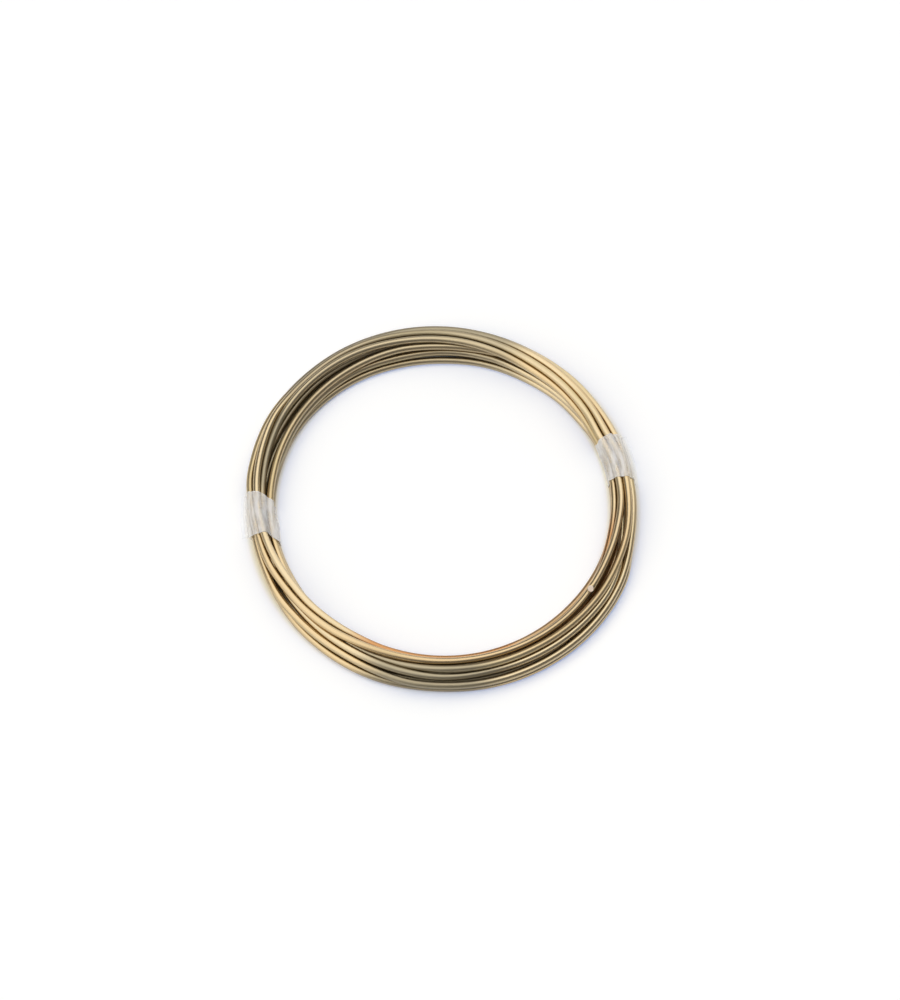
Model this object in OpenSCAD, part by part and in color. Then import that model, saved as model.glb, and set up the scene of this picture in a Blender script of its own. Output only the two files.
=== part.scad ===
// A ring-shaped coil of round brass wire, taped at two places so that it stays together.
// The coil lies flat. The origin is at the centre of its eye, on the floor, and +Z is up.

/* [Wire] */
// Diameter of the round wire
wire_d = 2; // [1:0.1:4]
// How far neighbouring turns are pressed together
bedding = 0.08; // [0.04:0.01:0.12]

/* [Coil] */
// Clear diameter of the eye
eye_d = 94; // [60:1:200]
// Turns side by side in each layer
turns_across = 3; // [2:1:5]
// Layers of turns on top of each other
layers = 3; // [2:1:4]
// Length of wire from the right tape to its cut end
lead_l = 35; // [5:1:50]

/* [Tape] */
// Width of the tape, along the coil
tape_w = 14; // [8:1:20]
// Thickness of the tape where it is wound round the turns
tape_t = 0.25; // [0.15:0.05:0.5]
// Clearance between the tape and the turns
tape_gap = 0.05; // [0.02:0.01:0.1]
// Length of the flag where the tape's two ends are pressed together
flag_l = 2.5; // [1:0.5:6]
// Direction of the right tape's middle, in degrees round from +X
right_tape_at = 15.5; // [0:0.5:45]
// Direction of the left tape's middle, in degrees round from +X
left_tape_at = 184; // [150:0.5:210]

/* [Hidden] */
$fn = 48;

brass = "#c9a765";
clear_film = [0.88, 0.87, 0.84, 0.6];

// The turns nest like stacked logs: each layer is shifted by half a turn over the one below.
pitch = wire_d - bedding;
rise = pitch * sin(60);
inner_r = eye_d / 2 + wire_d / 2;
bottom_z = tape_t + tape_gap + wire_d / 2;
function seat(layer, i) = [inner_r + pitch * (i + layer % 2 / 2), bottom_z + rise * layer];
seats = [for (layer = [0:layers - 1], i = [0:turns_across - 1]) seat(layer, i)];

// The last turn isn't a whole one. It lies on top, in the innermost full groove.
groove = 1 - layers % 2;
last_seat = seat(layers, groove);
groove_sides = [seat(layers - 1, 0), seat(layers - 1, 1)];

// Angles round the coil that lengths along the wire come to
function turn_of(length, r) = length / r * 180 / PI;
mid_r = inner_r + pitch * (turns_across - 0.5) / 2;
outer_r = seat(1, turns_across - 1)[0] + wire_d / 2;
tape_arc = turn_of(tape_w, mid_r);
cut_end_at = right_tape_at - tape_arc / 2 - turn_of(lead_l, last_seat[0]);

// The middles of the outermost turns, up the inner side and down the outer side
core_outline = [
    for (layer = [0:layers - 1]) seat(layer, 0),
    for (layer = [layers - 1:-1:0]) seat(layer, turns_across - 1)
];

module at_each(places) {
    for (place = places) translate(place) children();
}

module sweep(from, to) {
    rotate([0, 0, from]) rotate_extrude(angle = to - from) children();
}

// Section of the full turns, with what lies between them filled
module full_turns() {
    at_each(seats) circle(d = wire_d);
    polygon(core_outline);
}

// Section of the last turn, bedded into its groove
module last_turn() {
    translate(last_seat) circle(d = wire_d);
    polygon(concat(groove_sides, [last_seat]));
}

// Outline of a film drawn tight round all the turns, at a distance from them
module wrap_outline(distance) {
    hull() at_each(concat(seats, [last_seat])) circle(d = wire_d + 2 * distance);
}

// The coil: the full turns, and the last turn from under the left tape to the cut end
module wire_coil() {
    color(brass) {
        rotate_extrude() full_turns();
        sweep(cut_end_at, left_tape_at) last_turn();
    }
}

// A band of tape round the whole bundle, with its ends pressed together into a flag outside
module tape_band(at) {
    color(clear_film) sweep(at - tape_arc / 2, at + tape_arc / 2) {
        difference() {
            wrap_outline(tape_gap + tape_t);
            wrap_outline(tape_gap);
        }
        translate([outer_r + tape_gap + tape_t / 2, bottom_z + rise - tape_t / 2])
            square([tape_t / 2 + flag_l, tape_t]);
    }
}

module left_tape() {
    tape_band(left_tape_at);
}

module right_tape() {
    tape_band(right_tape_at);
}

wire_coil();
left_tape();
right_tape();
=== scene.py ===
import math

import bpy
import numpy as np
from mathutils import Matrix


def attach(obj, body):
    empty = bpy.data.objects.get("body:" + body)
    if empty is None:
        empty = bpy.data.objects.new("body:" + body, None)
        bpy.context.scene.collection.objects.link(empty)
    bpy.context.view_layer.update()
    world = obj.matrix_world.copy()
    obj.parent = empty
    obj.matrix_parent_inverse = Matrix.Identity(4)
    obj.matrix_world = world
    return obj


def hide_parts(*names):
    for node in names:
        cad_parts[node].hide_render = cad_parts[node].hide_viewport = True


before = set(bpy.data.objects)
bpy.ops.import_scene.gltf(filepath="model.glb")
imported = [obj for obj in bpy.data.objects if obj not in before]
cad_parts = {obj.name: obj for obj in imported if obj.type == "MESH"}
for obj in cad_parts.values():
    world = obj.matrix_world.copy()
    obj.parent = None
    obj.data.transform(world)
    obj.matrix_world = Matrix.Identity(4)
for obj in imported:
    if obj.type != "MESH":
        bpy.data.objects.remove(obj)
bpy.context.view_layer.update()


# Camera
# It looks down steeply at the coil from the front, through a long lens and from
# far off, so that the near and far sides of the ring come out at one scale.

camera_tilt = math.radians(66)
camera_distance = 2.5
seen_height = 0.278
sensor_side = 36.0
aim = np.array([0.0, 0.0, 0.003])
slide_right = 0.00206
slide_up = 0.00175

backwards = np.array([0.0, -math.cos(camera_tilt), math.sin(camera_tilt)])
upwards = np.array([0.0, math.sin(camera_tilt), math.cos(camera_tilt)])
sideways = np.array([1.0, 0.0, 0.0])

camera_data = bpy.data.cameras.new("camera")
camera_data.sensor_width = sensor_side
camera_data.lens = sensor_side * camera_distance / seen_height
camera_data.clip_end = 20.0
camera = bpy.data.objects.new("camera", camera_data)
camera.location = aim + camera_distance * backwards + slide_right * sideways + slide_up * upwards
camera.rotation_euler = (math.pi / 2 - camera_tilt, 0.0, 0.0)
bpy.context.scene.collection.objects.link(camera)
bpy.context.scene.camera = camera
bpy.context.scene.view_settings.view_transform = "Standard"


# Wire
# One length of bright round brass wire, 2 mm thick, drawn hard and wound by hand into
# nearly ten loose turns. The turns cross and swap places between the two tapes. The
# wire is drawn from its cut end, which lies on top at the front right.

wire_diameter = 0.002
wire_sides = 28
steps_per_turn = 180
wire_step = 360 / steps_per_turn

# Where the wire passes, turn by turn: degrees round the coil, then millimetres out from its middle and up
# from the floor. A fourth number, 1, says that the millimetres out are as the camera sees them: out to
# where its line of sight to the wire crosses the level of shown_level millimetres. For each millimetre
# that it drops, that line runs sightline_run millimetres to the back.
shown_level = 4.0
sightline_run = round(1 / math.tan(camera_tilt), 3)
wire_turns = [
    [(-33.3, 49, 7.4), (-21.5, 48.9, 7.2), (-9.6, 49.2, 6.9), (2.4, 49.6, 6.6), (15, 48.94, 6.57),
     (25, 48.3, 6.5, 1), (35, 48.9, 6.5, 1), (45, 49.45, 6.5, 1), (60, 50.15, 6.2, 1), (75, 51.3, 5.8, 1),
     (90, 52.4, 5.4, 1), (105, 53.3, 5, 1), (120, 53.9, 4.8, 1), (135, 53.8, 4.5, 1), (142, 53.8, 4.7, 1),
     (150, 53.95, 5.4, 1), (160, 53.2, 6, 1), (165, 52.8, 6.2, 1), (172, 52.25, 6.4, 1),
     (183.5, 51.1, 6.4), (190, 50.6, 6.5), (200, 49.25, 6.3, 1), (210, 48.1, 5.9, 1), (220, 47.5, 5.4, 1),
     (230, 46.95, 4.6, 1), (240, 46.65, 3.8, 1), (250, 46.8, 3.2, 1), (267, 46.85, 3, 1),
     (285, 46.95, 2.7, 1), (300, 47.05, 2.4, 1), (320, 47.3, 2.3, 1), (345, 47.6, 1.6)],
    [(15, 47.93, 1.29), (25, 47.3, 1.1, 1), (35, 46.4, 1.05, 1), (45, 46, 1.05, 1), (60, 45.15, 1.05, 1),
     (75, 44.8, 1.05, 1), (90, 44.4, 1.05, 1), (105, 44.7, 1.05, 1), (120, 45.45, 1.05, 1),
     (135, 46.2, 1.05, 1), (150, 47, 1.05, 1), (160, 47.3, 1.05, 1), (183.5, 47.97, 1.3),
     (200, 47.8, 1.05), (220, 47.4, 1.05), (240, 47.7, 1.8), (267, 48.3, 3), (300, 48.25, 3.1),
     (345, 48.6, 3.1)],
    [(15, 48.94, 3.05), (45, 46.95, 3.05, 1), (60, 46.85, 2.95, 1), (75, 47.4, 2.95, 1), (90, 47.2, 3, 1),
     (105, 46.95, 2.85, 1), (120, 47.5, 2.65, 1), (135, 47.65, 2.75, 1), (150, 47.65, 2.9, 1),
     (160, 47.55, 2.9, 1), (172, 48.35, 2.95, 1), (183.5, 48.97, 2.96), (220, 49.3, 1.05),
     (240, 49.6, 1.2), (267, 50.15, 2.8), (300, 50.1, 2.4)],
    [(15, 49.95, 1.29), (60, 48.4, 1.05), (75, 47.8, 1.05), (90, 47.8, 1.05), (105, 48.3, 1.05),
     (120, 49.6, 1.05), (150, 50, 1.1), (183.5, 49.96, 1.3), (220, 51, 1.02), (240, 51.6, 1.02),
     (267, 51.9, 1.02), (300, 52.6, 1.02), (320, 52.8, 1.02)],
    [(15, 51.97, 1.29), (45, 50.9, 1.05), (60, 51.2, 1.05), (90, 52.5, 1.05), (105, 53.2, 1.05),
     (120, 52.9, 1.1), (135, 52.2, 1.05), (150, 52, 1.1), (183.5, 51.96, 1.3), (200, 52.1, 1.05, 1),
     (210, 52.8, 1.05, 1), (220, 53.6, 1.05, 1), (230, 54.15, 1.05, 1), (240, 54.65, 1.2, 1),
     (250, 55, 1.2, 1), (267, 55.1, 1.05, 1), (285, 55.7, 1.05, 1), (300, 55.85, 1.05, 1),
     (320, 55.6, 1.1, 1), (330, 55.2, 1.15, 1), (338, 54.6, 1.2, 1), (345, 53.2, 1.5, 1)],
    [(2.4, 51.1, 2.7), (15, 50.96, 3.05), (60, 50.9, 3), (90, 50.9, 3), (105, 51.1, 2.9),
     (120, 51.1, 3.4), (135, 51.1, 3.9), (150, 50.9, 3.6), (183.5, 50.96, 2.96), (200, 50.3, 2.9),
     (220, 50.2, 2.9), (240, 50.6, 4.4), (255, 51.25, 4.3), (270, 51.9, 4.1), (285, 51.85, 3.9, 1),
     (300, 52.35, 4.3, 1), (310, 52.7, 4.4, 1), (320, 53, 4.6, 1), (330, 53.2, 4.7, 1),
     (338, 52.6, 4.6, 1), (345, 51.5, 4.4), (353, 50.5, 4.5)],
    [(15, 49.95, 4.81), (45, 49.75, 4.5), (60, 49.9, 4.2), (75, 48.5, 4.2, 1), (90, 48.4, 4.9, 1),
     (105, 48.9, 4.8, 1), (120, 48.8, 4.6, 1), (135, 48.65, 4.75, 1), (150, 48.45, 4.9, 1),
     (160, 48.25, 5, 1), (172, 48.1, 4.9, 1), (183.5, 48.17, 4.63), (220, 48.2, 2.8), (240, 48.8, 3.2),
     (255, 49.2, 4.1), (270, 49.4, 5.2, 1), (285, 49.8, 5.3, 1), (300, 50.15, 5.4, 1),
     (310, 50.55, 5.6, 1), (320, 51, 5.9, 1), (330, 51.4, 6.1, 1), (340, 51.6, 6.3, 1),
     (350, 51.8, 6.4, 1)],
    [(2.4, 51.55, 6.6), (15, 50.96, 6.57), (25, 50.3, 6.2, 1), (35, 50.8, 6.2, 1), (45, 51.25, 6.1, 1),
     (60, 52.05, 5.6, 1), (75, 52.9, 4.9, 1), (90, 53.7, 4.1, 1), (105, 54.2, 3.4, 1), (120, 54.1, 3, 1),
     (135, 53.3, 2.5, 1), (150, 52.9, 2.5, 1), (172, 53, 3, 1), (183.5, 52.7, 3), (190, 52.4, 3),
     (200, 52.5, 3, 1), (210, 52.9, 3, 1), (220, 52.6, 2.95, 1), (230, 52.5, 2.9, 1), (240, 52.6, 2.9, 1),
     (250, 53.3, 3, 1), (260, 54.2, 3.1, 1), (270, 54.45, 3.2, 1), (285, 54.8, 3.1, 1),
     (300, 54.9, 3.1, 1), (320, 54.75, 3.3, 1), (330, 54.3, 3.4, 1), (338, 53.7, 3.8, 1),
     (350, 52.7, 4.4, 1)],
    [(2.4, 52.4, 4.6), (15, 51.97, 4.81), (25, 51.85, 4.5, 1), (35, 51.8, 4.4, 1), (45, 52, 4.2, 1),
     (60, 52.1, 3.6, 1), (75, 52.7, 2.8, 1), (90, 53.4, 2.1, 1), (105, 53.9, 1.3, 1),
     (120, 54.1, 1.05, 1), (135, 54, 1.1, 1), (142, 53.95, 2, 1), (150, 54.2, 3.3, 1), (160, 54, 4.1, 1),
     (165, 53.85, 4.4, 1), (172, 53.7, 4.7, 1), (183.5, 52.4, 4.8), (190, 51.9, 4.9), (200, 51.3, 4.8, 1),
     (210, 50.3, 4.7, 1), (220, 49.65, 4.75, 1), (230, 49, 5, 1), (240, 48.2, 5.2, 1),
     (250, 47.75, 5.1, 1), (260, 47.55, 5, 1), (270, 47.5, 5, 1), (285, 47.6, 5, 1), (300, 47.95, 5.1, 1),
     (320, 48.35, 5.1, 1), (330, 48.3, 5, 1), (345, 47.7, 4.9, 1)],
    [(2.4, 47.85, 5), (15, 47.93, 4.81), (25, 47.3, 4.8, 1), (35, 47.5, 4.9, 1), (45, 47.85, 4.9, 1),
     (60, 48.2, 5.3, 1), (75, 49.3, 6.1, 1), (82, 49.9, 6.3, 1), (90, 50.5, 6.3, 1), (105, 51.5, 6.2, 1),
     (120, 52.5, 6.3, 1), (135, 52.75, 6.3, 1), (150, 52.4, 5.6, 1), (160, 51.6, 5, 1),
     (172, 50.7, 4.8, 1), (183.5, 50.06, 4.63)],
]

# Stretches painted darker and made rougher: painted shade, where turns lie low or on the darker sides of the
# coil. Stretches painted reddish: painted reflection and shade from a turn over them, and a faint warm tone
# on
# some. For each: turn, from and to in degrees round the coil, and how much, from 0 to 1.
shade_and_dull_stretches = [
    (0, 66, 144, 0.5), (0, 298, 345, 0.1), (1, 60, 180, 0.35), (1, 240, 300, 0.5), (2, 66, 180, 0.4),
    (2, 240, 300, 0.5), (3, 70, 300, 0.5), (4, 70, 175, 0.5), (4, 246, 284, 0.7), (5, 70, 178, 0.5),
    (5, 246, 290, 0.7), (6, 70, 150, 0.35), (6, 240, 284, 0.65), (7, 66, 178, 0.75), (7, 248, 284, 0.75),
    (8, 66, 143, 0.8), (9, 64, 146, 0.35), (9, 146, 178, 0.75),
]
red_reflection_stretches = [
    (0, -34, 0, 0.15), (0, 240, 298, 0.9), (0, 298, 350, 0.5), (1, 292, 350, 0.45), (2, 292, 350, 0.35),
    (6, 300, 350, 0.12), (8, 240, 334, 0.12), (8, 334, 354, 0.8),
]


def stretch_share(angle, stretches):
    """The amount of the strongest stretch that each angle along the wire is in. Each stretch fades at its
    ends over ten degrees."""
    share = np.zeros_like(angle)
    for turn, low, high, amount in stretches:
        inside = np.minimum(angle - 360 * turn - low, 360 * turn + high - angle) / 10.0 + 0.5
        share = np.maximum(share, amount * np.clip(inside, 0.0, 1.0))
    return share


def wire_route(turns, step):
    """Radius and height along the wire, at even steps of angle. A place given as it shows is brought in by
    its height above the shown level, times the run of the line of sight, times the sine of its angle, to a
    hundredth of a millimetre. Between two places the wire follows a cubic, whose slope at each place is
    that of the parabola through it and its two neighbours."""
    places = []
    for k, turn in enumerate(turns):
        for degrees, out, up, *shows in turn:
            if shows:
                out -= (up - shown_level) * sightline_run * math.sin(math.radians(degrees))
            places.append((360.0 * k + degrees, round(out, 2), up))
    angle, out, up = np.array(places).T
    value = 0.001 * np.stack([out, up], axis=1)
    slope = np.gradient(value, angle, axis=0, edge_order=1)
    at = np.arange(angle[0], angle[-1] + 0.5 * step, step)
    i = np.clip(np.searchsorted(angle, at, side="right") - 1, 0, len(angle) - 2)
    gap = (angle[i + 1] - angle[i])[:, None]
    t = ((at - angle[i])[:, None]) / gap
    route = (
        (2 * t**3 - 3 * t**2 + 1) * value[i]
        + (t**3 - 2 * t**2 + t) * gap * slope[i]
        + (3 * t**2 - 2 * t**3) * value[i + 1]
        + (t**3 - t**2) * gap * slope[i + 1]
    )
    return np.radians(at), route


def evened(values, reach):
    """A moving average over the neighbours up to reach steps away, weighted like a bell, with the ends
    repeated."""
    weights = np.hanning(2 * reach + 3)[1:-1]
    weights /= weights.sum()
    padded = np.pad(values, ((reach, reach), (0, 0)), mode="edge")
    columns = [np.convolve(column, weights, mode="valid") for column in padded.T]
    return np.stack(columns, axis=1)


def bedded_route(route, lowest, per_turn, thickness, rounds, closing_rounds):
    """Moves the passes of the wire apart wherever two middles at one angle are closer than the thickness,
    each by nearly half of what they lack, and keeps all of them above the lowest height. The rounds even
    the moves out along the wire, because stiff wire can't turn sharply, and the closing rounds don't."""
    start = route
    count = len(route)
    rows = -(-count // per_turn)
    parked = np.arange(rows * per_turn - count) + 1.0
    tail = np.stack([parked, parked], axis=1)
    for this_round in range(rounds):
        grid = np.concatenate([route, tail]).reshape(rows, per_turn, 2)
        apart = grid[:, None] - grid[None, :]
        distance = np.maximum(np.linalg.norm(apart, axis=-1, keepdims=True), 1e-6)
        lack = np.clip(thickness - distance, 0.0, None) * (distance > 1e-5)
        push = (0.45 * lack * apart / distance).sum(axis=1).reshape(-1, 2)[:count]
        move = route + push - start
        if this_round < rounds - closing_rounds:
            move = evened(move, 3)
        route = start + move
        route[:, 1] = np.maximum(route[:, 1], lowest)
    return route


def crowding(section, per_turn, radius, sides):
    """How closely the neighbouring passes hem in each point of the wire's surface, from 0 in the open to 1
    where one touches it. The gap to the nearest other pass is read in the section at that angle."""
    count = len(section)
    rows = -(-count // per_turn)
    far = np.full((rows * per_turn - count, 2), 1.0)
    grid = np.concatenate([section, far]).reshape(rows, per_turn, 2)
    turn = 2 * math.pi * np.arange(sides) / sides
    skin = grid[:, :, None] + radius * np.stack([np.cos(turn), np.sin(turn)], axis=1)
    gap = np.linalg.norm(skin[:, None] - grid[None, :, :, None], axis=-1) - radius
    gap[np.arange(rows), np.arange(rows)] = 1.0
    nearest = gap.min(axis=1).reshape(-1, sides)[:count]
    return np.exp(-np.clip(nearest, 0.0, None) / (0.35 * radius))


def swept_tube(name, middle, radius, sides, start_slant):
    """A closed tube: a circle of the given radius carried along the middle line, square to it, with a
    small bevel at each cut end. The first end is cut at a slant, which is the tangent of its angle: the
    nippers left its top set back. Its map has the length along the wire, and the share of the way round."""
    ahead = np.gradient(middle, axis=0)
    ahead /= np.linalg.norm(ahead, axis=1, keepdims=True)
    length = np.concatenate([[0.0], np.cumsum(np.linalg.norm(np.diff(middle, axis=0), axis=1))])
    bevel = 0.15 * radius
    first, last = middle[0], middle[-1]
    start_pair = [first, first + bevel * ahead[0]]
    end_pair = [last - bevel * ahead[-1], last]
    centres = np.concatenate([start_pair, middle[1:-1], end_pair])
    ahead = np.concatenate([[ahead[0]], [ahead[0]], ahead[1:-1], [ahead[-1]], [ahead[-1]]])
    along = np.concatenate([[0.0, bevel], length[1:-1], [length[-1] - bevel, length[-1]]])
    size = np.full(len(centres), radius)
    size[[0, -1]] = radius - bevel
    outwards = centres * [1.0, 1.0, 0.0]
    outwards -= (outwards * ahead).sum(axis=1, keepdims=True) * ahead
    outwards /= np.linalg.norm(outwards, axis=1, keepdims=True)
    above = np.cross(outwards, ahead)
    turn = 2 * math.pi * np.arange(sides) / sides
    slant = np.zeros(len(centres))
    slant[:2] = start_slant
    rings = centres[:, None] + size[:, None, None] * (
        np.cos(turn)[None, :, None] * outwards[:, None]
        + np.sin(turn)[None, :, None] * (above + slant[:, None] * ahead)[:, None]
    )
    count = len(centres)
    row, column = np.meshgrid(np.arange(count - 1), np.arange(sides), indexing="ij")
    following = (column + 1) % sides
    near, far = row * sides, (row + 1) * sides
    walls = np.stack([near + column, near + following, far + following, far + column], axis=-1).reshape(-1, 4)
    start_face = list(range(sides - 1, -1, -1))
    end_face = list(range((count - 1) * sides, count * sides))
    mesh = bpy.data.meshes.new(name)
    mesh.from_pydata(rings.reshape(-1, 3).tolist(), [], walls.tolist() + [start_face, end_face])
    share = np.stack([column, column + 1, column + 1, column], axis=-1).reshape(-1) / sides
    run = np.stack([along[row], along[row], along[row + 1], along[row + 1]], axis=-1).reshape(-1)
    cut = np.full(2 * sides, -0.01)
    tube_map = np.stack([np.concatenate([run, cut]), np.concatenate([share, 0 * cut])], axis=1)
    mesh.uv_layers.new(name="along_the_wire").data.foreach_set("uv", tube_map.astype(np.float32).ravel())
    mesh.polygons.foreach_set("use_smooth", np.array([True] * len(walls) + [False, False]))
    mesh.validate()
    mesh.update()
    piece = bpy.data.objects.new(name, mesh)
    bpy.context.scene.collection.objects.link(piece)
    return piece, length[-1]


# The wire rests on the floor, and is lifted by the film that is under it at the two tapes.
wire_angle, drawn_route = wire_route(wire_turns, wire_step)
right_tape_at = 15.5
left_tape_at = 185.0
film_lift = 0.00028
from_right_tape = np.abs((np.degrees(wire_angle) - right_tape_at + 180) % 360 - 180)
from_left_tape = np.abs((np.degrees(wire_angle) - left_tape_at + 180) % 360 - 180)
near_tape = np.clip((16.0 - np.minimum(from_right_tape, from_left_tape)) / 6.0, 0.0, 1.0)
wire_section = bedded_route(
    drawn_route,
    lowest=0.505 * wire_diameter + film_lift * near_tape,
    per_turn=steps_per_turn,
    thickness=1.01 * wire_diameter,
    rounds=240,
    closing_rounds=60,
)
wire_out, wire_up = wire_section.T
wire_middle = np.stack([wire_out * np.cos(wire_angle), wire_out * np.sin(wire_angle), wire_up], axis=1)
wire, wire_length = swept_tube(
    "brass_wire_coil", wire_middle, 0.5 * wire_diameter, wire_sides, start_slant=0.7
)
hemmed_in = crowding(wire_section, steps_per_turn, 0.5 * wire_diameter, wire_sides)
hemmed_in = np.concatenate([hemmed_in[:1], hemmed_in, hemmed_in[-1:]])
hemmed_in_data = wire.data.attributes.new("hemmed_in", "FLOAT", "POINT").data
hemmed_in_data.foreach_set("value", hemmed_in.astype(np.float32).ravel())
for attribute, stretches in (("shaded_and_dulled", shade_and_dull_stretches), ("reflection_reddened", red_reflection_stretches)):
    amount = stretch_share(np.degrees(wire_angle), stretches)
    amount = np.repeat(np.concatenate([amount[:1], amount, amount[-1:]]), wire_sides)
    attribute_data = wire.data.attributes.new(attribute, "FLOAT", "POINT").data
    attribute_data.foreach_set("value", amount.astype(np.float32))


class Value:
    """One socket of a material, with which sums are written as Python expressions."""

    def __init__(self, nodes, socket):
        self.nodes, self.socket = nodes, socket

    def math(self, operation, *others):
        return self.nodes.add("ShaderNodeMath", {"operation": operation}, [self, *others])

    def also(self, output):
        """Another output of the node that this value comes from."""
        return Value(self.nodes, self.socket.node.outputs[output])

    def __add__(self, other):
        return self.math("ADD", other)

    def __mul__(self, other):
        return self.math("MULTIPLY", other)

    def __rsub__(self, other):
        return self.nodes.add("ShaderNodeMath", {"operation": "SUBTRACT"}, [other, self])

    __radd__ = __add__
    __rmul__ = __mul__


class Finish:
    """The nodes of a material or of the world. add() makes any node from its type, its settings and the
    values or links of its inputs."""

    def __init__(self, owner):
        self.owner = owner
        owner.use_nodes = True
        self.tree = owner.node_tree
        self.tree.nodes.clear()

    def add(self, kind, settings=None, inputs=(), output=0):
        node = self.tree.nodes.new(kind)
        for key, value in (settings or {}).items():
            setattr(node, key, value)
        pairs = inputs.items() if isinstance(inputs, dict) else enumerate(inputs)
        for key, value in pairs:
            if isinstance(value, Value):
                self.tree.links.new(value.socket, node.inputs[key])
            else:
                node.inputs[key].default_value = value
        return Value(self, node.outputs[output]) if len(node.outputs) else None

    def mixed(self, share, first, second):
        """One colour laid over another by a share from 0 to 1."""
        colours = [c if isinstance(c, Value) else (*c, 1.0) for c in (first, second)]
        settings = {"data_type": "RGBA", "blend_type": "MIX", "clamp_factor": True}
        return self.add("ShaderNodeMix", settings, {0: share, 6: colours[0], 7: colours[1]}, output=2)


def lit_range(value, low, high):
    """Zero below low, one above high, and a smooth ramp between."""
    settings = {"interpolation_type": "SMOOTHSTEP"}
    return value.nodes.add("ShaderNodeMapRange", settings, [value, low, high, 0.0, 1.0])


brass = Finish(bpy.data.materials.new("bright_brass"))
wire_place = brass.add("ShaderNodeUVMap", {"uv_map": "along_the_wire"})
run_along = brass.add("ShaderNodeSeparateXYZ", None, [wire_place])
round_share = run_along.also("Y")
round_x = round_share.math("MULTIPLY", 2 * math.pi).math("COSINE")
round_y = round_share.math("MULTIPLY", 2 * math.pi).math("SINE")


def along_noise(per_metre, round_scale, detail, shift=0.0):
    """Noise with per_metre cells to a metre of wire, and no seam round it. The shift along the wire makes
    one noise differ from another."""
    along = run_along * per_metre + shift
    place = brass.add("ShaderNodeCombineXYZ", None, [along, round_x * round_scale, round_y * round_scale])
    inputs = {"Vector": place, "Scale": 1.0, "Detail": detail, "Roughness": 0.5}
    return brass.add("ShaderNodeTexNoise", {"noise_dimensions": "3D"}, inputs)


tarnish = along_noise(28.0, 0.6, 3.0)
warmth = along_noise(11.0, 0.4, 2.0, shift=31.0)
drawing_lines = along_noise(60.0, 14.0, 3.0, shift=7.0)
fine_lines = along_noise(160.0, 40.0, 2.0, shift=17.0)
specks = along_noise(2600.0, 3.0, 2.0, shift=3.0)

clean_brass = (0.55, 0.45, 0.29)
warm_brass = (0.53, 0.405, 0.235)
olive_brass = (0.45, 0.375, 0.20)
brown_film = (0.27, 0.18, 0.10)
# Painted shade and brass-to-brass reflection, for the gaps between the turns.
painted_gap_shade_brass = (0.56, 0.39, 0.165)
cut_brass = (0.88, 0.77, 0.68)
# Painted reflection and shade, for the reddish stretches.
painted_reflection_brass = (0.42, 0.20, 0.075)
# Painted shade, for the darker stretches.
painted_shade_brass = (0.25, 0.225, 0.165)

tone = brass.mixed(lit_range(warmth, 0.42, 0.68), clean_brass, warm_brass)
tone = brass.mixed(lit_range(tarnish, 0.50, 0.75) * 0.5, tone, olive_brass)
tone = brass.mixed(lit_range(drawing_lines, 0.52, 0.72) * 0.22, tone, brown_film)
tone = brass.mixed(lit_range(specks, 0.70, 0.78) * 0.5, tone, brown_film)
# Painted shade and reflection between the turns: deeper golden-brown brass where other passes hem the wire
# in.
shade_between_turns = brass.add("ShaderNodeAttribute", {"attribute_name": "hemmed_in"}, output="Fac")
tone = brass.mixed(lit_range(shade_between_turns, 0.25, 0.95) * 0.65, tone, painted_gap_shade_brass)
reflection_reddened = brass.add("ShaderNodeAttribute", {"attribute_name": "reflection_reddened"}, output="Fac")
shaded_and_dulled = brass.add("ShaderNodeAttribute", {"attribute_name": "shaded_and_dulled"}, output="Fac")
# Painted reflection and shade: reddish brass where a turn lies under a higher one, and a faint warm tone on
# some.
tone = brass.mixed(reflection_reddened, tone, painted_reflection_brass)
# Painted shade: darker brass along the darker stretches, which are also made rougher below.
tone = brass.mixed(shaded_and_dulled, tone, painted_shade_brass)
freshly_cut = run_along.math("LESS_THAN", -0.001)
tone = brass.mixed(freshly_cut, tone, cut_brass)
roughness = 0.20 + 0.14 * lit_range(tarnish, 0.45, 0.75) + 0.08 * lit_range(drawing_lines, 0.45, 0.7)
roughness = roughness + 0.35 * freshly_cut + 0.20 * shaded_and_dulled
relief = brass.add("ShaderNodeBump", None,
                   {"Strength": 0.25, "Distance": 0.00003, "Height": drawing_lines + 0.5 * fine_lines})
brass_surface = brass.add("ShaderNodeBsdfPrincipled", None,
                          {"Base Color": tone, "Metallic": 1.0, "Roughness": roughness, "Normal": relief})
brass.add("ShaderNodeOutputMaterial", None, [brass_surface])
wire.data.materials.append(brass.owner)

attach(wire, "root")
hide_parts("wire_coil")


# Tapes
# Two pieces of clear adhesive film, each wound once round the whole bundle by hand, so that the turns
# stay together. The two ends are pressed face to face into a short flag on the outer side.

film_thickness = 0.0001
film_clearance = 0.00003
film_sag = 0.3
wrinkle_height = 0.00025
lowest_film = 0.00002
knot_clearance = 0.0002
flag_height = 0.0031
flag_droop = 0.0004
flag_ripple = 0.00012
flag_half_gap = 0.00001
round_steps = 160
flag_steps = 8
width_steps = 34


def passes_at(azimuth):
    """Radius and height of every pass of the wire at each azimuth, read between the two nearest steps. A
    pass that has ended gives the first pass again."""
    place = (azimuth - wire_angle[0]) % (2 * math.pi) / math.radians(wire_step)
    rows = place[:, None] + steps_per_turn * np.arange(len(wire_turns))
    rows = np.where(rows < len(wire_section) - 1, rows, rows[:, :1])
    below = rows.astype(int)
    share = (rows - below)[..., None]
    return (1 - share) * wire_section[below] + share * wire_section[below + 1]


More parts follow.
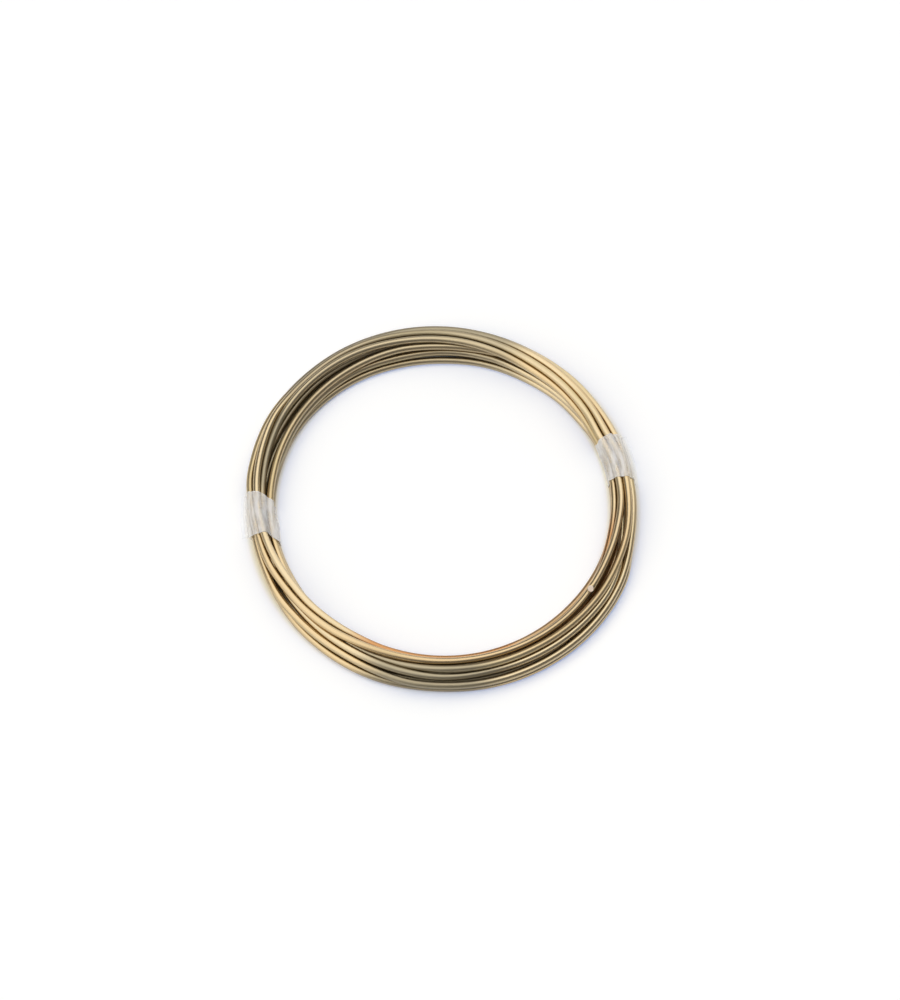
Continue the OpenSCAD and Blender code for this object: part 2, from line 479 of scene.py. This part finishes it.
def film_reach(azimuth, direction, middle, knot):
    """How far the film is from the middle of the bundle, for each azimuth and each direction round it: the
    hull of all the passes and of the knot where the flag starts, with the film drawn part of the way down
    into the grooves. The hull is the nearest of the lines that touch the passes from every side."""
    size = 0.5 * wire_diameter + film_clearance
    passes = passes_at(azimuth)
    facing = 2 * math.pi * np.arange(240) / 240
    normal = np.stack([np.cos(facing), np.sin(facing)])
    support = (passes @ normal).max(axis=1) + size
    support = np.maximum(support, knot @ normal + film_thickness) - middle @ normal
    lean = np.cos(direction[:, None] - facing[None, :])
    hull = np.where(lean > 0.05, support[:, None] / np.maximum(lean, 0.05), 1.0).min(axis=-1)
    ray = np.stack([np.cos(direction), np.sin(direction)])
    offset = passes - middle
    along = offset @ ray
    aside = (offset**2).sum(axis=-1)[..., None] - along**2
    skin = np.where(aside < size**2, along + np.sqrt(np.clip(size**2 - aside, 0.0, None)), 0.0).max(axis=1)
    sag = film_sag * np.clip(hull - skin, 0.0, 0.0009)
    return hull - evened(sag.T, 2).T


def wrinkles(along, across, seed):
    """A sum of a dozen sine waves of different lengths and directions, none below zero."""
    rng = np.random.default_rng(seed)
    waves = np.zeros_like(along)
    for _ in range(12):
        pitch = rng.uniform(0.0018, 0.006)
        lean = rng.uniform(-0.9, 0.9)
        run = along * math.sin(lean) + across * math.cos(lean)
        waves += np.sin(2 * math.pi * run / pitch + rng.uniform(0, 6.28))
    return np.clip(waves, 0.0, None) / 12.0


def wound_film(name, round_stations, low_edge, high_edge, flag_lengths, flag_spread, bulge, seed):
    """A thin band carried round the bundle. Each row of its grid is a place along the film, from the tip of
    the flag round the turns and back out; each column a place across its width. The film's two edges are
    drawn as azimuths in degrees at stations round the bundle. The flag has a length at each edge, and spreads
    past the low edge by some degrees. The bulge is a bell-shaped rise, with its height, and then its middle
    and spread in degrees round the bundle and round the coil."""
    middle = passes_at(np.radians(np.array([low_edge[0], high_edge[0]]))).mean(axis=(0, 1))
    outermost = passes_at(np.radians(np.linspace(low_edge[0], high_edge[0], 9)))[..., 0].max()
    knot = np.array([outermost + 0.5 * wire_diameter + knot_clearance, flag_height])
    start = math.atan2(knot[1] - middle[1], knot[0] - middle[0])
    direction = start + 2 * math.pi * np.arange(round_steps + 1) / round_steps
    row_turn = np.degrees(direction - start)
    row_turn = np.concatenate([np.zeros(flag_steps), row_turn, np.full(flag_steps, 360.0)])
    out = np.linspace(1.0, 0.0, flag_steps, endpoint=False)
    out = np.concatenate([out, np.zeros(round_steps + 1), out[::-1]])[:, None]
    side = np.where(np.arange(len(row_turn)) < len(row_turn) / 2, 1.0, -1.0)[:, None]

    across = np.linspace(0.0, 1.0, width_steps + 1)[None, :]
    low = np.interp(row_turn, round_stations, low_edge)[:, None]
    high = np.interp(row_turn, round_stations, high_edge)[:, None]
    low = low + 0.10 * np.sin(row_turn[:, None] / 11.0 + seed) - out * flag_spread
    high = high + 0.12 * np.sin(row_turn[:, None] / 14.0 + 2.0 * seed)
    azimuth = np.radians(low + across * (high - low))

    table_azimuth = np.linspace(azimuth.min(), azimuth.max(), 48)
    table = film_reach(table_azimuth, direction, middle, knot)
    row = np.clip(np.arange(len(row_turn)) - flag_steps, 0, round_steps)[:, None]
    place = (azimuth - table_azimuth[0]) / (table_azimuth[1] - table_azimuth[0])
    below = np.clip(place.astype(int), 0, len(table_azimuth) - 2)
    reach = (1 - place + below) * table[below, row] + (place - below) * table[below + 1, row]
    reach = np.where(out > 0, table[below, row], reach)
    amount, turn_middle, turn_spread, azimuth_middle, azimuth_spread = bulge
    reach = reach + amount * np.exp(
        -(((row_turn[:, None] - turn_middle) / turn_spread) ** 2)
        - ((np.degrees(azimuth) - azimuth_middle) / azimuth_spread) ** 2
    )
    radius = middle[0] + reach * np.cos(direction)[row]
    height = middle[1] + reach * np.sin(direction)[row]
    length = flag_lengths[0] + (flag_lengths[1] - flag_lengths[0]) * across
    radius = radius + out * length
    height = height - out**2 * flag_droop + flag_ripple * out * np.sin(9.0 * across + seed)
    height = height + side * (out > 0) * flag_half_gap

    ahead = np.stack([np.gradient(radius, axis=0), np.gradient(height, axis=0)], axis=-1)
    ahead /= np.linalg.norm(ahead, axis=-1, keepdims=True)
    outwards = np.stack([ahead[..., 1], -ahead[..., 0]], axis=-1)
    flag_normal = np.stack([0.0 * side, side], axis=-1)
    outwards = np.where((out > 0)[..., None], flag_normal, outwards)
    steps = np.hypot(np.diff(radius, axis=0), np.diff(height, axis=0))
    run = np.concatenate([np.zeros((1, width_steps + 1)), np.cumsum(steps, axis=0)])
    span = across * (np.radians(high - low) * middle[0])
    lift = wrinkle_height * wrinkles(run, span, seed) * (out == 0)
    inner = np.stack([radius, height], axis=-1) + lift[..., None] * outwards
    outer = inner + film_thickness * outwards

    sections = np.concatenate([outer, inner[::-1]])
    angles = np.concatenate([azimuth, azimuth[::-1]])
    far_out, high_up = sections[..., 0], np.maximum(sections[..., 1], lowest_film)
    points = np.stack([far_out * np.cos(angles), far_out * np.sin(angles), high_up], axis=-1)
    count, columns = points.shape[:2]
    j, i = np.meshgrid(np.arange(columns - 1), np.arange(count), indexing="ij")
    this_row, next_row = i * columns, (i + 1) % count * columns
    band = np.stack([this_row + j, this_row + j + 1, next_row + j + 1, next_row + j], axis=-1).reshape(-1, 4)
    k = np.arange(count // 2 - 1)
    other = count - 1 - k
    low_cap = np.stack([k, k + 1, other - 1, other], axis=-1) * columns
    high_cap = low_cap[:, ::-1] + columns - 1
    faces = np.concatenate([band, low_cap, high_cap])
    mesh = bpy.data.meshes.new(name)
    mesh.from_pydata(points.reshape(-1, 3).tolist(), [], faces.tolist())
    corner = faces.ravel()
    on_both_skins = [np.concatenate([part, part[::-1]]).ravel() for part in (run, span)]
    film_map = np.stack([part[corner] for part in on_both_skins], axis=1)
    mesh.uv_layers.new(name="along_the_film").data.foreach_set("uv", film_map.astype(np.float32).ravel())
    edge = 1000 * np.minimum(np.minimum(span, span[:, -1:] - span), 0.001)
    for attribute, part in (("in_flag", out + 0 * run), ("from_edge", edge)):
        both_skins = np.concatenate([part, part[::-1]]).astype(np.float32).ravel()
        mesh.attributes.new(attribute, "FLOAT", "POINT").data.foreach_set("value", both_skins)
    mesh.polygons.foreach_set("use_smooth", np.arange(len(faces)) < len(band))
    mesh.validate()
    mesh.update()
    piece = bpy.data.objects.new(name, mesh)
    bpy.context.scene.collection.objects.link(piece)
    return piece


right_film = wound_film(
    "right_film",
    round_stations=[0, 80, 160, 270, 360],
    low_edge=[7.4, 7.9, 8.3, 8.2, 7.6],
    high_edge=[22.6, 23.5, 22.4, 22.5, 22.8],
    flag_lengths=(0.0010, 0.0020),
    flag_spread=2.4,
    bulge=(0.0003, 180.0, 30.0, 15.0, 6.0),
    seed=3,
)
left_film = wound_film(
    "left_film",
    round_stations=[0, 60, 110, 175, 270, 360],
    low_edge=[176.8, 176.8, 177.6, 180.2, 178.5, 177.0],
    high_edge=[190.3, 190.6, 191.4, 195.2, 192.5, 190.0],
    flag_lengths=(0.0015, 0.0019),
    flag_spread=0.0,
    bulge=(0.0010, 172.0, 34.0, 189.0, 5.5),
    seed=8,
)

clear_film = Finish(bpy.data.materials.new("clear_film"))
film_place = clear_film.add("ShaderNodeUVMap", {"uv_map": "along_the_film"})
flag_share = clear_film.add("ShaderNodeAttribute", {"attribute_name": "in_flag"}, output="Fac")
from_edge = clear_film.add("ShaderNodeAttribute", {"attribute_name": "from_edge"}, output="Fac")


def film_noise(per_metre_along, per_metre_across):
    """Noise with so many cells to a metre along the film and across it."""
    scale = (per_metre_along, per_metre_across, 0.0)
    place = clear_film.add("ShaderNodeVectorMath", {"operation": "MULTIPLY"}, [film_place, scale])
    return clear_film.add("ShaderNodeTexNoise", None, {"Vector": place, "Scale": 1.0, "Detail": 3.0})


cloud = film_noise(720.0, 130.0)
creases = film_noise(1500.0, 380.0)
cut_edge = 1 - lit_range(from_edge, 0.05, 0.30)
film_white = clear_film.mixed(lit_range(cloud, 0.35, 0.7), (0.98, 0.97, 0.96), (0.95, 0.955, 0.98))
pressed = lit_range(cloud, 0.40, 0.66)
veil = 0.24 + 0.26 * pressed + 0.22 * cut_edge
veil = veil * (1 - 0.92 * lit_range(flag_share, 0.02, 0.4))
film_relief = clear_film.add(
    "ShaderNodeBump", None, {"Strength": 0.35, "Distance": 0.0001, "Height": creases}
)
film_surface = clear_film.add(
    "ShaderNodeBsdfPrincipled",
    None,
    {
        "Base Color": film_white,
        "Roughness": 0.30 + 0.2 * pressed,
        "IOR": 1.47,
        "Alpha": veil,
        "Normal": film_relief,
    },
)
clear_film.add("ShaderNodeOutputMaterial", None, [film_surface])

# Film this thin hardly shades the wire, so the two films cast no shadow.
for film, node in ((right_film, "right_tape"), (left_film, "left_tape")):
    film.data.materials.append(clear_film.owner)
    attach(film, "root")
    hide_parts(node)
    film.visible_shadow = False


# Floor and light
# A wide sheet of plain white paper under one long soft panel, which hangs over the coil from the front
# left to the back right, in a grey room. The paper keeps the coil's soft shadow.

floor_reach = 1.5
floor_mesh = bpy.data.meshes.new("white_floor")
floor_corners = [(x * floor_reach, y * floor_reach, 0.0) for x, y in ((-1, -1), (1, -1), (1, 1), (-1, 1))]
floor_mesh.from_pydata(floor_corners, [], [(0, 1, 2, 3)])
floor = bpy.data.objects.new("white_floor", floor_mesh)
bpy.context.scene.collection.objects.link(floor)

paper = Finish(bpy.data.materials.new("white_paper"))
seen_ray = paper.add("ShaderNodeLightPath", output="Is Camera Ray")
shown = seen_ray.math("MAXIMUM", seen_ray.also("Is Glossy Ray"))
shown = shown.math("MAXIMUM", seen_ray.also("Is Transmission Ray"))
lit_paper = paper.add("ShaderNodeBsdfDiffuse", None, {"Color": (0.85, 0.85, 0.85, 1.0)})
# The paper shows its own colour times the light, and a glow that brings it up to white in the open.
paper_share = (1.0, 0.90, 0.62)
open_light = (0.915, 0.905, 0.89)
shaded_paper = paper.add("ShaderNodeBsdfDiffuse", None, {"Color": (*paper_share, 1.0)})
paper_glow = tuple(1.0 - share * light for share, light in zip(paper_share, open_light))
# Under the coil the glow nearly goes, so that no bluish paper shows between the turns. This is painted shade:
# the paper in a ring under the coil is darker than elsewhere, whatever the light.
floor_place = paper.add("ShaderNodeTexCoord", output="Object")
from_middle = paper.add("ShaderNodeVectorMath", {"operation": "LENGTH"}, [floor_place], output=1)
shade_under_coil = lit_range(from_middle, 0.0450, 0.0475) * (1 - lit_range(from_middle, 0.0530, 0.0560))
glow_there = paper.mixed(shade_under_coil, paper_glow, (0.03, 0.03, 0.03))
white_glow = paper.add("ShaderNodeEmission", None, {"Color": glow_there, "Strength": 1.0})
seen_paper = paper.add("ShaderNodeAddShader", None, [shaded_paper, white_glow])
surface = paper.add("ShaderNodeMixShader", None, [shown, lit_paper, seen_paper])
paper.add("ShaderNodeOutputMaterial", None, [surface])
floor_mesh.materials.append(paper.owner)

world = bpy.data.worlds.new("pale_studio")
bpy.context.scene.world = world
studio = Finish(world)
towards = studio.add("ShaderNodeTexCoord", output="Generated")
panel_side = (-0.707, 0.707, 0.0)
dot_product = {"operation": "DOT_PRODUCT"}
across_panel = studio.add("ShaderNodeVectorMath", dot_product, [towards, panel_side], output=1)
overhead = studio.add("ShaderNodeSeparateXYZ", None, [towards], output="Z")
panel = lit_range(across_panel, -0.36, -0.02) * (1 - lit_range(across_panel, 0.46, 0.76))
panel_colour = studio.mixed(lit_range(overhead, 0.3, 0.9), (1.45, 1.42, 1.36), (1.80, 1.78, 1.72))
glow = studio.mixed(panel, (0.25, 0.245, 0.245), panel_colour)
glow = studio.mixed(studio.add("ShaderNodeLightPath", output="Is Camera Ray"), glow, (1.0, 1.0, 1.0))
background = studio.add("ShaderNodeBackground", None, {"Color": glow, "Strength": 1.0})
studio.add("ShaderNodeOutputWorld", None, [background])
